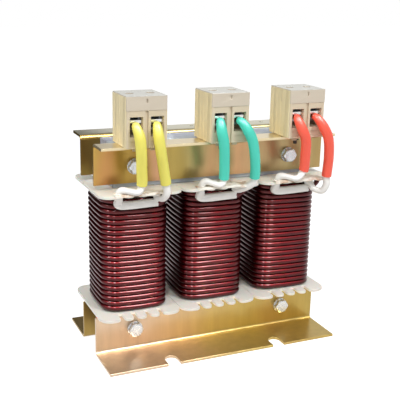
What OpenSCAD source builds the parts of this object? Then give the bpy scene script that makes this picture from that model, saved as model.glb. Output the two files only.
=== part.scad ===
// Load-side reactor: a three-phase choke on a laminated core.
// Three coils stand on the legs of the core, four bent angles clamp its yokes, and a
// two-pole terminal block for each phase stands on the front top angle.
// Millimetres, +X to the right along the front, +Y to the back, +Z up.
// The origin is on the floor, under the middle of the feet.

/* [Angles] */
// Length of each of the four clamping angles
angle_l = 190; // [180:1:220]
// Sheet thickness of the angles
sheet_t = 2; // [1.5:0.5:2.5]
// Outside radius of their bend
bend_r = 4; // [3:0.5:6]
// Height of the upright web of each angle
web_h = 31; // [28:1:33]
// Depth of the bottom angles, over the foot
foot_d = 38; // [32:1:60]
// Depth of the top angles, over the shelf
shelf_d = 21; // [20:1:26]

/* [Mounting slots] */
// Distance between the two slots of a foot
slot_pitch = 89; // [60:1:120]
// Width of a slot, for an M8 screw
slot_w = 10; // [8:0.5:12]
// Depth of a slot, from the edge of the foot
slot_d = 12.5; // [9:0.5:16]

/* [Core] */
// Width of a leg, and height of a yoke
leg_w = 32; // [30:1:36]
// Width of the window between two legs
window_w = 32; // [32:1:40]
// Length of the legs
leg_h = 96; // [80:1:110]
// Thickness of the stack of sheets
stack_d = 31; // [28:1:36]
// Thickness of the pads in the air gaps
air_gap = 0.6; // [0.4:0.1:1.5]
// Height of the core above the floor, and its depth below the shelves
core_inset = 2.4; // [2:0.2:5]

/* [Through bolts] */
// Diameter of the four through bolts
bolt_d = 6; // [5:0.5:8]
// Width across the flats of their heads and nuts
bolt_af = 10; // [9:0.5:13]
// Height of a bolt head
bolt_head_h = 4; // [3:0.5:6]
// Height of a nut
bolt_nut_h = 5; // [4:0.5:7]
// Diameter of the plain washers
washer_d = 12; // [11:0.5:18]
// Thickness of the plain and of the spring washers
washer_t = 1.6; // [1:0.2:2.4]
// Length of bolt that stands out of its nut
bolt_end = 2.3; // [1:0.1:6]
// Wall of the insulating tubes round the bolts
tube_t = 0.75; // [0.5:0.05:1.5]

/* [Bobbins] */
// Depth of the flanges, front to back
flange_d = 76; // [72:1:84]
// Thickness of the flanges
flange_t = 2; // [1.5:0.1:3]
// Wall round the leg
bobbin_t = 1.5; // [1:0.1:2]
// Radius of the outer corners of the flanges
flange_r = 9; // [6:0.5:12]
// Width of the teeth along the front and back edges
tooth_w = 7; // [5:0.5:7.5]
// Distance from one tooth to the next
tooth_pitch = 10.3; // [9:0.1:10.5]
// Depth of the slots between the teeth
tooth_d = 10.5; // [7:0.5:12]
// Width of the two wider slots of the top flange, for the leads
lead_slot_w = 5.2; // [5:0.1:6]

/* [Windings] */
// Diameter of the enamelled wire
wire_d = 3.7; // [3:0.05:3.8]
// Turns of the outer layer
turns = 22; // [18:1:22]
// Thickness of the insulation between the two layers
layer_t = 0.4; // [0.2:0.1:0.8]
// Radius of the corners of the outer layer, along its wire
coil_r = 10; // [8:0.5:12]

/* [Terminal blocks] */
// Width of a block
block_w = 29.4; // [28:0.2:36]
// Depth of a block, front to back
block_d = 30.4; // [28:0.2:36]
// Height of the housing below its cap
housing_h = 26.3; // [26:0.1:30]
// Height of the cap
cap_h = 10.1; // [8:0.1:14]
// Overhang of the cap
cap_over = 0.3; // [0.1:0.1:1]
// Overhang of a block past the edge of the shelf
block_over = 7; // [5:0.5:9]
// Distance between the two poles of a block
pole_pitch = 15.4; // [15:0.1:17]
// Width of the windows where the wires enter
mouth_w = 9.6; // [9:0.1:11]
// Height of the wall over the windows
lintel_h = 4.3; // [4.1:0.1:6]

/* [Clamps] */
// Diameter of the clamp screws
screw_d = 4.6; // [4:0.1:4.8]
// Pitch of their thread
screw_pitch = 0.8; // [0.5:0.1:1]
// Turns that open a clamp fully
screw_turns = 3.5; // [2:0.5:3.5]
// Diameter of the screw heads
screw_head_d = 7.6; // [6.5:0.1:8]
// Height of the screw heads
screw_head_h = 3.6; // [2.5:0.1:4]
// Outer width of a clamp cage
cage_w = 8.2; // [7.8:0.1:8.4]
// Depth of a clamp cage, front to back
cage_d = 20.6; // [18:0.2:21]
// Side walls of a cage
cage_wall = 1.1; // [0.8:0.1:1.3]
// Floor of a cage
cage_floor = 1.4; // [1:0.1:1.8]
// Threaded top of a cage
cage_top = 2.2; // [1.8:0.1:2.2]
// Thickness of the busbars
bar_t = 2; // [1.5:0.1:2]
// Depth of the underside of the busbars below the top of the housing
bar_drop = 8.7; // [8.3:0.1:8.7]
// Clearance under a cage that is fully open
cage_clear = 1.4; // [0.4:0.1:2]

/* [Block fixings] */
// Diameter of the screw that holds a block
fix_d = 3; // [2.5:0.1:3.2]
// Length of that screw under its head
fix_l = 12; // [11:0.5:16]
// Diameter of its head
fix_head_d = 5.4; // [4.5:0.1:5.6]
// Height of its head
fix_head_h = 2.2; // [1.6:0.1:3]
// Width across the flats of its nut
fix_nut_af = 5.5; // [5:0.1:7]
// Height of its nut
fix_nut_h = 2.4; // [2:0.1:4]
// Height of the seat of the head above the shelf
fix_seat = 4.5; // [3:0.1:5]

/* [Leads] */
// Radius of a coloured sleeve
sleeve_r = 4; // [3:0.1:4]
// Radius of a coloured sleeve where it enters its window
sleeve_tip_r = 2.7; // [2:0.1:3]
// Radius of a white glass-fibre sleeve
glass_r = 2.4; // [2:0.1:2.4]

/* [Fits] */
// Gap between pieces that are put over one another
fit = 0.3; // [0.2:0.05:0.4]
// Clearance of the holes for bolts and screws, on the radius
hole_fit = 0.3; // [0.2:0.05:0.5]

/* [Hidden] */
PHASES = ["left", "middle", "right"];
POLES = ["in", "out"];
SLEEVE_COLOURS = ["khaki", "turquoise", "tomato"];
SLEEVE_NAMES = ["yellow", "teal", "red"];

// Overrun of the cuts past the faces that they open
over = 1;
// Facets of round edges and bores, and of small ones
round_fn = 48;
small_fn = 24;

// The core and the angles
core_z = core_inset;
leg_pitch = leg_w + window_w;
window_z = core_z + leg_w;
pad_z = window_z + leg_h;
yoke_z = pad_z + air_gap;
core_top = yoke_z + leg_w;
shelf_z = core_top + core_inset;
face_y = stack_d / 2 + sheet_t;
bolt_heights = [core_z + leg_w / 2, yoke_z + leg_w / 2];
web_hole_d = bolt_d + 2 * hole_fit;
tube_d = web_hole_d + 2 * tube_t;
core_hole_d = tube_d + hole_fit;

// The bobbins
flange_w = leg_pitch - fit;
bore_w = leg_w + 2 * fit;
bore_d = stack_d + 2 * fit;
barrel_w = bore_w + 2 * bobbin_t;
barrel_d = bore_d + 2 * bobbin_t;
barrel_r = 2 * bobbin_t;
bobbin_h = yoke_z - window_z - fit;
winding_z = window_z + flange_t;
flange_top = window_z + bobbin_h;
winding_top = flange_top - flange_t;
tooth_count = 3;
tooth_r_share = 0.5;

// The windings: flat layers under the outer layer of round wire
skin_gap = fit / 3;
inner_w = barrel_w + 2 * skin_gap;
inner_d = barrel_d + 2 * skin_gap;
layer_w = inner_w + 2 * wire_d + 2 * skin_gap;
layer_d = inner_d + 2 * wire_d + 2 * skin_gap;
layer_r = coil_r - layer_t;
wire_gap = 2 * skin_gap;
coil_w = layer_w + 2 * layer_t + 2 * wire_gap + wire_d;
coil_d = layer_d + 2 * layer_t + 2 * wire_gap + wire_d;
corner_x = coil_w / 2 - coil_r;
corner_y = coil_d / 2 - coil_r;
coil_bottom = winding_z + wire_d / 2 + fit;
coil_top = winding_top - wire_d / 2 - 3 * fit;
pitch = (coil_top - coil_bottom) / turns;
// Shares of a turn: three rings at each corner, five sides to the wire
turn_rings = 12;
corner_rings = 3;
wire_sides = 5;

// The terminal blocks, from the shelf up, about their own middle
block_y = -(stack_d / 2 + shelf_d + block_over - block_d / 2);
pole_xs = [-pole_pitch / 2, pole_pitch / 2];
mouth_recess = 2;
cell_w = cage_w + 2 * fit;
cell_d = cage_d + 2 * fit;
bar_w = cage_w - 2 * cage_wall - 2 * fit;
bar_head_w = cell_w + mouth_recess;
bar_head_d = 2.2;
bar_slot_gap = 0.1;
bar_l = cell_d + 2 * bar_head_d;
bar_z = housing_h - bar_drop;
bar_top = bar_z + bar_t;
wire_z = bar_z - wire_d / 2;
travel = screw_pitch * screw_turns;
cage_z = bar_z - wire_d - fit - cage_floor;
cage_inner_top = bar_top + travel + fit;
cage_h = cage_inner_top + cage_top - cage_z;
sill_h = cage_z - travel - cage_clear;
mouth_h = housing_h - sill_h - lintel_h;
screw_tip_z = bar_top + fit;
screw_head_z = housing_h + 2 * fit;
head_hole_d = screw_head_d + 2 * fit;
driver_hole_d = screw_head_d - 4 * fit;
driver_slot_w = 1.2;
driver_slot_d = 1.6;
fix_well_d = fix_head_d + fit;
fix_hole_d = fix_d + hole_fit;
groove_w = 2.2;
groove_d = 1.2;
notch_w = 9;
notch_h_share = 0.55;
notch_z_share = 0.1;
notch_h = sill_h * notch_h_share;
notch_z = sill_h * notch_z_share;
notch_d = 0.8;
tick_w = 1.4;
tick_h = 2.8;
tick_d = 1;
lug_w = 4;
lug_h = 3;
lug_t = 1.6;
lug_x = 6.5;
edge_r = 0.8;

// Where the leads meet the coils: the start of the inner layer, under the top flange, and the
// end of the outer layer, in a band that lies across the top turns
start_x = 12.8;
start_y = -coil_d / 2 - wire_d;
start_z = winding_top - glass_r - skin_gap;
band_end_x = 14;
band_y = -coil_d / 2 - wire_d / 2 - glass_r - 4 * skin_gap;
band_z = start_z - 2 * glass_r - 2 * skin_gap;

// Routes of the six leads, from the front of the core, the middle of their coil and the top of
// its bobbin: out of the clamp, past the edge of the shelf and down to the coil. The first six
// points carry the coloured sleeve.
sleeve_points = 6;
lead_in_x = -pole_pitch / 2;
lead_out_x = pole_pitch / 2;
lead_y = block_y - block_d / 2 + mouth_recess - fit;
lead_h = shelf_z + wire_z - flange_top;
band_h = band_z - flange_top;
start_h = start_z - flange_top;
lead_out_y = lead_y + stack_d / 2;
band_out_y = band_y + stack_d / 2;
start_out_y = start_y + stack_d / 2;
LEAD_ROUTES = [
    [
        [
            [lead_in_x, lead_out_y, lead_h], [-8.5, -30.5, 49.8], [-7, -32.9, 43.3], [-5.6, -32.1, 33.3],
            [-3.8, -28, 19.3], [-2.6, -25.1, 7.8], [-5, -25.5, 2.8], [-10, -21.5, 4.3],
            [-14.5, -18.5, 6.3], [-16.4, -16.5, 3.3], [-16.4, -15.5, -2.7], [-14.5, -13.3, band_h],
            [band_end_x, band_out_y, band_h]
        ],
        [
            [lead_out_x, lead_out_y, lead_h], [6.6, -30.5, 49.8], [6.8, -32.9, 43.3], [8.8, -31.9, 33.3],
            [12.5, -28, 19.3], [15.4, -25.7, 7.3], [16.6, -25.7, -0.7], [15.4, -21.5, -6.1],
            [13.2, -16.5, -5.3], [start_x, start_out_y, start_h]
        ]
    ],
    [
        [
            [lead_in_x, lead_out_y, lead_h], [-9, -30.5, 50.3], [-9, -32.9, 44.3], [-6.4, -31.9, 34.3],
            [-3.8, -28, 19.3], [-2.6, -25.3, 7.3], [-5, -25.5, 2.7], [-10, -21.5, 4.3],
            [-14.5, -18.5, 6.3], [-16.4, -16.5, 3.3], [-16.4, -15.5, -2.7], [-14.5, -13.3, band_h],
            [band_end_x, band_out_y, band_h]
        ],
        [
            [lead_out_x, lead_out_y, lead_h], [8.4, -30.5, 49.3], [12, -32.9, 43.8], [17, -32.1, 34.3],
            [21, -29, 19.3], [22.8, -26.1, 6.3], [22.6, -25.9, -0.7], [18, -22.5, -6.1],
            [14, -16.5, -5.3], [start_x, start_out_y, start_h]
        ]
    ],
    [
        [
            [lead_in_x, lead_out_y, lead_h], [-9, -30.5, 48.8], [-6.4, -32.9, 42.3], [-2, -31.9, 33.3],
            [0.6, -28, 19.3], [1.6, -25.1, 8.3], [-4.4, -25.5, 2.7], [-10, -21.5, 4.5],
            [-14.5, -18.5, 6.7], [-16.4, -16.5, 3.3], [-16.4, -15.5, -2.7], [-14.5, -13.3, band_h],
            [band_end_x, band_out_y, band_h]
        ],
        [
            [lead_out_x, lead_out_y, lead_h], [8.6, -30.5, 48.8], [12.4, -32.9, 42.8], [18, -31.9, 33.3],
            [21.4, -28.9, 18.3], [22.2, -26.3, 2.7], [22.8, -25.9, -4.7], [20.6, -23.1, -10.1],
            [15.6, -18.5, -8.7], [14.2, -15.9, -4.7], [start_x, start_out_y, start_h]
        ]
    ]
];
sleeve_sides = 10;
glass_sides = 8;

// Vectors
function unit(v) = v / norm(v);

// Faces of a closed tube of n rings with s points each
function tube_faces(n, s) = concat(
    [for (i = [0:n - 2], j = [0:s - 1]) [i * s + j, (i + 1) * s + (j + 1) % s, i * s + (j + 1) % s]],
    [for (i = [0:n - 2], j = [0:s - 1]) [i * s + j, (i + 1) * s + j, (i + 1) * s + (j + 1) % s]],
    [for (j = [1:s - 2]) [0, j, j + 1]],
    [for (j = [1:s - 2]) [(n - 1) * s, (n - 1) * s + j + 1, (n - 1) * s + j]]
);

// Direction of a route at point i: along the wire at both ends, and between its neighbours
function route_dir(route, i) =
    i == 0 ? [0, -1, 0] :
    i == len(route) - 1 ? (route[i].x > route[i - 1].x ? [1, 0, 0] : [0, 1, 0]) :
    unit(route[i + 1] - route[i - 1]);

// Side vectors of a route from point i on, each turned as little as the route allows
function route_sides(route, i = 0, side = [1, 0, 0]) =
    i == len(route) ? [] :
    let (along = route_dir(route, i), next = unit(side - (side * along) * along))
    concat([next], route_sides(route, i + 1, next));

// Points of a round sleeve over a route, from point a to point b
function sleeve_rings(route, a, b, radii, s) =
    let (sides = route_sides(route))
    [
        for (i = [a:b], j = [0:s - 1])
        let (side = sides[i], other = cross(route_dir(route, i), side), angle = 360 * j / s)
        route[i] + radii[i - a] * (cos(angle) * side + sin(angle) * other)
    ];

// Length of wire from the start of a turn to ring m of it
corner_arc = PI * coil_r / 2;
turn_length = 4 * corner_arc + 4 * (corner_x + corner_y);
function straights_before(k) =
    [0, 2 * corner_y, 2 * (corner_x + corner_y), 4 * corner_y + 2 * corner_x][k];
function ring_length(m) =
    floor(m / corner_rings) * corner_arc + straights_before(floor(m / corner_rings))
    + (m % corner_rings) * corner_arc / (corner_rings - 1);

// Centre and outward direction of ring m of a turn, clockwise from the front left corner
function ring_angle(m) =
    270 - 90 * floor(m / corner_rings) - (m % corner_rings) * 90 / (corner_rings - 1);
function ring_corner(m) = [[-1, -1], [-1, 1], [1, 1], [1, -1]][floor(m / corner_rings)];
function ring_spot(m, z) = [
    ring_corner(m).x * corner_x + coil_r * cos(ring_angle(m)),
    ring_corner(m).y * corner_y + coil_r * sin(ring_angle(m)),
    z
];
function out_dir(angle) = [cos(angle), sin(angle), 0];

// The wire starts and ends its turns at the right front corner, where ring 9 is
first_ring = 9;
function turn_z(i) = coil_bottom
    + pitch * (floor(i / turn_rings)
    + (ring_length(i % turn_rings) - ring_length(first_ring)) / turn_length);
leave_r = coil_r + abs(band_y) - coil_d / 2;
leave_x = corner_x + (leave_r - coil_r) / 2;

// Rings of the outer layer: a straight end, the turns, and the wire that leaves over them
wire_spots = concat(
    [[ring_spot(first_ring, coil_bottom) + [0, wire_d, 0], 0]],
    [for (i = [first_ring:first_ring + turns * turn_rings])
        [ring_spot(i % turn_rings, turn_z(i)), ring_angle(i % turn_rings)]],
    [
        [[leave_x + leave_r * cos(45), -corner_y - leave_r * sin(45), coil_top], -45],
        [[leave_x + wire_d / 2, band_y, band_z], -90],
        [[band_end_x, band_y, band_z], -90]
    ]
);
wire_points = [
    for (w = wire_spots, j = [0:wire_sides - 1])
    w[0] + wire_d / 2 * (cos(360 * j / wire_sides) * out_dir(w[1]) + sin(360 * j / wire_sides) * [0, 0, 1])
];
wire_rings = len(wire_spots);

// Least gap between one turn and the next, measured on the points of the wire
least_gap = min([
    for (i = [0:wire_rings - turn_rings], m = [turn_rings - 1:turn_rings + 1])
    if (i + m < wire_rings)
    for (j = [0:wire_sides - 1], k = [0:wire_sides - 1])
    norm(wire_points[i * wire_sides + j] - wire_points[(i + m) * wire_sides + k])
]);
echo(least_gap_between_turns = least_gap);

// A rectangle with round corners, about its middle
module round_rect(w, d, r) {
    square([w - 2 * r, d], center = true);
    square([w, d - 2 * r], center = true);
    for (x = [-1, 1], y = [-1, 1])
        translate([x * (w / 2 - r), y * (d / 2 - r)]) circle(r, $fn = small_fn);
}

// A flat sleeve of wall t round a rectangle w by d, with corners of radius r inside and
// outer_r outside
module sleeve_ring(w, d, r, outer_r, t, h) {
    linear_extrude(h) difference() {
        round_rect(w + 2 * t, d + 2 * t, outer_r);
        round_rect(w, d, r);
    }
}

// A hexagon of width af across its flats
module hexagon(af, h) {
    cylinder(d = af / cos(30), h = h, $fn = 6);
}

// The four angles: an L bent from sheet, with its back on the core
module angle_section(depth) {
    translate([0, bend_r]) square([sheet_t, web_h - bend_r]);
    translate([bend_r, 0]) square([depth - bend_r, sheet_t]);
    translate([bend_r, bend_r]) difference() {
        circle(bend_r, $fn = round_fn);
        circle(bend_r - sheet_t, $fn = round_fn);
        translate([0, -bend_r - over]) square(2 * (bend_r + over));
        translate([-bend_r - over, 0]) square(2 * (bend_r + over));
    }
}

module angle_blank(depth) {
    translate([angle_l / 2, -stack_d / 2, 0]) rotate([90, 0, -90]) linear_extrude(angle_l)
        angle_section(depth);
}

module web_holes(z) {
    for (x = [-leg_pitch, leg_pitch])
        translate([x, -stack_d / 2 + over, z]) rotate([90, 0, 0])
            cylinder(d = web_hole_d, h = sheet_t + 2 * over, $fn = round_fn);
}

module bottom_angle() {
    color("darkkhaki") difference() {
        angle_blank(foot_d);
        web_holes(bolt_heights[0]);
        for (x = [-slot_pitch / 2, slot_pitch / 2])
            translate([x, -stack_d / 2 - foot_d, -over]) {
                translate([0, slot_d - slot_w / 2, 0])
                    cylinder(d = slot_w, h = sheet_t + 2 * over, $fn = round_fn);
                translate([-slot_w / 2, -over, 0])
                    cube([slot_w, slot_d - slot_w / 2 + over, sheet_t + 2 * over]);
            }
    }
}

module top_angle() {
    color("darkkhaki") difference() {
        translate([0, 0, shelf_z]) mirror([0, 0, 1]) angle_blank(shelf_d);
        web_holes(bolt_heights[1]);
        for (x = [-leg_pitch, 0, leg_pitch])
            translate([x, block_y, shelf_z - sheet_t - over])
                cylinder(d = fix_hole_d, h = sheet_t + 2 * over, $fn = round_fn);
    }
}

// The core: an E with three legs, an I that closes it, and the pads between them
module bolt_bores(z) {
    for (x = [-leg_pitch, leg_pitch])
        translate([x, stack_d / 2 + over, z]) rotate([90, 0, 0])
            cylinder(d = core_hole_d, h = stack_d + 2 * over, $fn = round_fn);
}

module core_block(w, h) {
    translate([-w / 2, -stack_d / 2, 0]) cube([w, stack_d, h]);
}

module core_e_stack() {
    color("slategray") difference() {
        union() {
            translate([0, 0, core_z]) core_block(2 * leg_pitch + leg_w, leg_w);
            for (x = [-leg_pitch, 0, leg_pitch]) translate([x, 0, window_z]) core_block(leg_w, leg_h);
        }
        bolt_bores(bolt_heights[0]);
    }
}

module core_i_yoke() {
    color("slategray") difference() {
        translate([0, 0, yoke_z]) core_block(2 * leg_pitch + leg_w, leg_w);
        bolt_bores(bolt_heights[1]);
    }
}

module air_gap_pads() {
    color("linen") for (x = [-leg_pitch, 0, leg_pitch])
        translate([x, 0, pad_z]) core_block(leg_w, air_gap);
}

// The four through bolts, from the front, with all that they carry
module at_bolts(y) {
    for (x = [-leg_pitch, leg_pitch], z = bolt_heights)
        translate([x, y, z]) rotate([-90, 0, 0]) children();
}

module through_bolts() {
    color("silver") at_bolts(-face_y - washer_t) {
        cylinder(
            d = bolt_d,
            h = 2 * face_y + 3 * washer_t + bolt_nut_h + bolt_end,
            $fn = round_fn
        );
        translate([0, 0, -bolt_head_h]) hexagon(bolt_af, bolt_head_h);
    }
}

module washer(d, t) {
    difference() {
        cylinder(d = d, h = t, $fn = round_fn);
        translate([0, 0, -over]) cylinder(d = web_hole_d, h = t + 2 * over, $fn = round_fn);
    }
}

module plain_washers() {
    color("gainsboro") {
        at_bolts(-face_y - washer_t) washer(washer_d, washer_t);
        at_bolts(face_y) washer(washer_d, washer_t);
    }
}

module spring_washers() {
    color("gray") at_bolts(face_y + washer_t) difference() {
        washer(bolt_af, washer_t);
        translate([0, -washer_t / 4, -over]) cube([bolt_af, washer_t / 2, washer_t + 2 * over]);
    }
}

module bolt_nuts() {
    color("silver") at_bolts(face_y + 2 * washer_t) difference() {
        hexagon(bolt_af, bolt_nut_h);
        translate([0, 0, -over]) cylinder(d = bolt_d + fit, h = bolt_nut_h + 2 * over, $fn = round_fn);
    }
}

module bolt_tubes() {
    color("wheat") at_bolts(-stack_d / 2) difference() {
        cylinder(d = tube_d, h = stack_d, $fn = round_fn);
        translate([0, 0, -over]) cylinder(d = web_hole_d, h = stack_d + 2 * over, $fn = round_fn);
    }
}

// The bobbins: a barrel round the leg and two flanges with toothed edges
module round_tab(w, length) {
    translate([-w / 2, 0]) square([w, length - w * tooth_r_share]);
    translate([0, length - w * tooth_r_share]) circle(w * tooth_r_share, $fn = small_fn);
}

module lobe(inner_x) {
    lobe_w = flange_w / 2 - inner_x;
    inner_r = tooth_w * tooth_r_share;
    translate([inner_x, 0]) {
        square([lobe_w, tooth_d - flange_r]);
        square([lobe_w - flange_r, tooth_d - inner_r]);
        translate([inner_r, 0]) square([lobe_w - flange_r - inner_r, tooth_d]);
        translate([inner_r, tooth_d - inner_r]) circle(inner_r, $fn = small_fn);
        intersection() {
            translate([lobe_w - flange_r, tooth_d - flange_r]) circle(flange_r, $fn = round_fn);
            square([lobe_w, tooth_d]);
        }
    }
}

module flange_edge(lobe_x) {
    for (i = [0:tooth_count - 1])
        translate([(i - (tooth_count - 1) / 2) * tooth_pitch, 0]) round_tab(tooth_w, tooth_d);
    for (side = [0, 1]) mirror([side, 0]) lobe(lobe_x);
}

module flange(lobe_x) {
    root = flange_d / 2 - tooth_d;
    linear_extrude(flange_t) {
        square([flange_w, 2 * root], center = true);
        translate([0, root]) flange_edge(lobe_x);
        mirror([0, 1]) translate([0, root]) flange_edge(lobe_x);
    }
}

module bobbin(x) {
    slot_w = tooth_pitch - tooth_w;
    teeth_half = (tooth_count - 1) / 2 * tooth_pitch + tooth_w / 2;
    color("whitesmoke") translate([x, 0, window_z]) difference() {
        union() {
            flange(teeth_half + slot_w);
            translate([0, 0, bobbin_h - flange_t]) flange(teeth_half + lead_slot_w);
            linear_extrude(bobbin_h) round_rect(barrel_w, barrel_d, barrel_r);
        }
        translate([0, 0, -over]) linear_extrude(bobbin_h + 2 * over) square([bore_w, bore_d], center = true);
    }
}

// The inner layer: a plain core under the round wire, with the wire that starts it
module inner_winding(x) {
    color("maroon") translate([x, 0, winding_z + skin_gap]) {
        sleeve_ring(inner_w, inner_d, barrel_r, layer_r - skin_gap, wire_d,
            winding_top - winding_z - 2 * skin_gap);
        translate([start_x, -inner_d / 2 - wire_d / 2, start_z - winding_z - skin_gap]) rotate([90, 0, 0])
            cylinder(d = wire_d, h = abs(start_y) - inner_d / 2 - wire_d / 2, $fn = small_fn);
    }
}

module layer_insulation(x) {
    color("wheat") translate([x, 0, winding_z + skin_gap])
        sleeve_ring(layer_w, layer_d, layer_r, coil_r, layer_t, start_z - wire_d / 2 - winding_z - fit);
}

// The outer layer: one wire, from its straight end at the bottom to the glass sleeve
module outer_winding(x) {
    color("brown") translate([x, 0, 0])
        polyhedron(points = wire_points, faces = tube_faces(wire_rings, wire_sides), convexity = 10);
}

// The leads: a coloured sleeve from the clamp, then a white sleeve to the coil
module coloured_sleeve(phase, pole) {
    route = LEAD_ROUTES[phase][pole];
    radii = [
        for (i = [0:sleeve_points - 1])
        i == 0 ? sleeve_tip_r : i == 1 ? (sleeve_tip_r + sleeve_r) / 2 : sleeve_r
    ];
    color(SLEEVE_COLOURS[phase]) translate([(phase - 1) * leg_pitch, -stack_d / 2, flange_top]) polyhedron(
        points = sleeve_rings(route, 0, sleeve_points - 1, radii, sleeve_sides),
        faces = tube_faces(sleeve_points, sleeve_sides),
        convexity = 4
    );
}

module glass_sleeve(phase, pole) {
    route = LEAD_ROUTES[phase][pole];
    last = len(route) - 1;
    color("white") translate([(phase - 1) * leg_pitch, -stack_d / 2, flange_top]) polyhedron(
        points = sleeve_rings(route, sleeve_points - 1, last, [for (p = route) glass_r], glass_sides),
        faces = tube_faces(last - sleeve_points + 2, glass_sides),
        convexity = 4
    );
}

// The bare ends of the leads, under the busbars
module wire_ends() {
    color("peru") for (phase = [-1:1], x = pole_xs)
        translate([phase * leg_pitch + x, lead_y, shelf_z + wire_z]) rotate([-90, 0, 0])
            cylinder(d = wire_d, h = block_y - lead_y, $fn = small_fn);
}

// The terminal blocks
module block_plate(w, d, h) {
    linear_extrude(h) round_rect(w, d, edge_r);
}

module box_at(x, y, z, size) {
    translate([x - size.x / 2, y - size.y / 2, z]) cube(size);
}

module terminal_housing(x) {
    color("tan") translate([x, block_y, shelf_z]) {
        difference() {
            block_plate(block_w, block_d, housing_h);
            for (px = pole_xs) {
                for (side = [-1, 1]) {
                    box_at(px, side * block_d / 2, sill_h, [mouth_w, 2 * mouth_recess, mouth_h]);
                    box_at(px, side * (cell_d + bar_head_d) / 2, bar_z,
                        [bar_head_w + 2 * bar_slot_gap, bar_head_d + 2 * bar_slot_gap, housing_h]);
                    box_at(px, side * block_d / 2, notch_z, [notch_w, 2 * notch_d, notch_h]);
                }
                box_at(px, 0, sill_h, [cell_w, block_d + 2 * over, mouth_h]);
                box_at(px, 0, sill_h, [cell_w, cell_d, housing_h]);
            }
            for (side = [-1, 1])
                box_at(0, side * block_d / 2, -over, [groove_w, 2 * groove_d, housing_h + 2 * over]);
            translate([0, 0, fix_seat]) cylinder(d = fix_well_d, h = housing_h, $fn = round_fn);
            translate([0, 0, -over]) cylinder(d = fix_hole_d, h = housing_h, $fn = round_fn);
        }
        for (side = [-1, 1])
            box_at(side * lug_x, block_over - block_d / 2 - lug_t / 2 - bar_slot_gap, -lug_h,
                [lug_w, lug_t, lug_h]);
    }
}

module terminal_cap(x) {
    color("burlywood") translate([x, block_y, shelf_z + housing_h]) difference() {
        block_plate(block_w + 2 * cap_over, block_d + 2 * cap_over, cap_h);
        for (px = pole_xs) translate([px, 0, -over]) {
            cylinder(
                d = head_hole_d,
                h = screw_head_z - housing_h + screw_head_h + fit + over,
                $fn = round_fn
            );
            cylinder(d = driver_hole_d, h = cap_h + 2 * over, $fn = round_fn);
        }
        box_at(0, -block_d / 2 - cap_over, cap_h / 2 + fit, [tick_w, 2 * tick_d, tick_h]);
    }
}

module busbars() {
    color("gold") for (phase = [-1:1], px = pole_xs)
        translate([phase * leg_pitch, block_y, shelf_z]) {
            box_at(px, 0, bar_z, [bar_w, bar_l, bar_t]);
            for (side = [-1, 1])
                box_at(px, side * (cell_d + bar_head_d) / 2, bar_z, [bar_head_w, bar_head_d, bar_t]);
        }
}

module block_screws() {
    color("silver") for (phase = [-1:1]) translate([phase * leg_pitch, block_y, shelf_z + fix_seat]) {
        difference() {
            cylinder(d = fix_head_d, h = fix_head_h, $fn = round_fn);
            box_at(0, 0, fix_head_h / 2, [fix_head_d + over, fix_head_h / 3, fix_head_h]);
        }
        translate([0, 0, -fix_l]) cylinder(d = fix_d, h = fix_l, $fn = round_fn);
    }
}

module block_nuts() {
    color("silver") for (phase = [-1:1])
        translate([phase * leg_pitch, block_y, shelf_z - sheet_t - fix_nut_h]) difference() {
            hexagon(fix_nut_af, fix_nut_h);
            translate([0, 0, -over]) cylinder(d = fix_hole_d, h = fix_nut_h + 2 * over, $fn = round_fn);
        }
}

// The clamps: a captive slotted screw lifts or lowers a cage under the busbar
module clamp_screw(x) {
    color("lightsteelblue") translate([x, block_y, shelf_z]) difference() {
        union() {
            translate([0, 0, screw_head_z]) cylinder(d = screw_head_d, h = screw_head_h, $fn = round_fn);
            translate([0, 0, screw_tip_z])
                cylinder(d = screw_d, h = screw_head_z - screw_tip_z, $fn = round_fn);
        }
        box_at(0, 0, screw_head_z + screw_head_h - driver_slot_d,
            [screw_head_d + over, driver_slot_w, screw_head_h]);
    }
}

module clamp_cage(x) {
    color("lightgray") translate([x, block_y, shelf_z]) difference() {
        box_at(0, 0, cage_z, [cage_w, cage_d, cage_h]);
        box_at(0, 0, cage_z + cage_floor,
            [cage_w - 2 * cage_wall, cage_d + 2 * over, cage_inner_top - cage_z - cage_floor]);
        translate([0, 0, cage_inner_top - over])
            cylinder(d = screw_d + 2 * hole_fit, h = cage_top + 2 * over, $fn = round_fn);
    }
}

bottom_angle();  // bottom_angle_front
mirror([0, 1, 0]) bottom_angle();  // bottom_angle_rear
top_angle();  // top_angle_front
mirror([0, 1, 0]) top_angle();  // top_angle_rear
core_e_stack();
core_i_yoke();
air_gap_pads();
through_bolts();
plain_washers();
spring_washers();
bolt_nuts();
bolt_tubes();
busbars();
block_screws();
block_nuts();
wire_ends();
for (i = [0:2]) {
    x = (i - 1) * leg_pitch;
    bobbin(x);
    inner_winding(x);
    layer_insulation(x);
    outer_winding(x);
    terminal_housing(x);
    terminal_cap(x);
    for (j = [0:1]) {
        clamp = str(PHASES[i], "_", POLES[j]);
        coloured_sleeve(i, j);
        glass_sleeve(i, j);
        clamp_screw(x + pole_xs[j]);
        clamp_cage(x + pole_xs[j]);
    }
}
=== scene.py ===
# Looks of a three-phase load-side reactor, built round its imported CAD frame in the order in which
# the real one is put together: angles, core, bolts, bobbins, coils, terminal blocks and leads.
import math

import bmesh
import bpy
import numpy as np
from mathutils import Matrix


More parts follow.
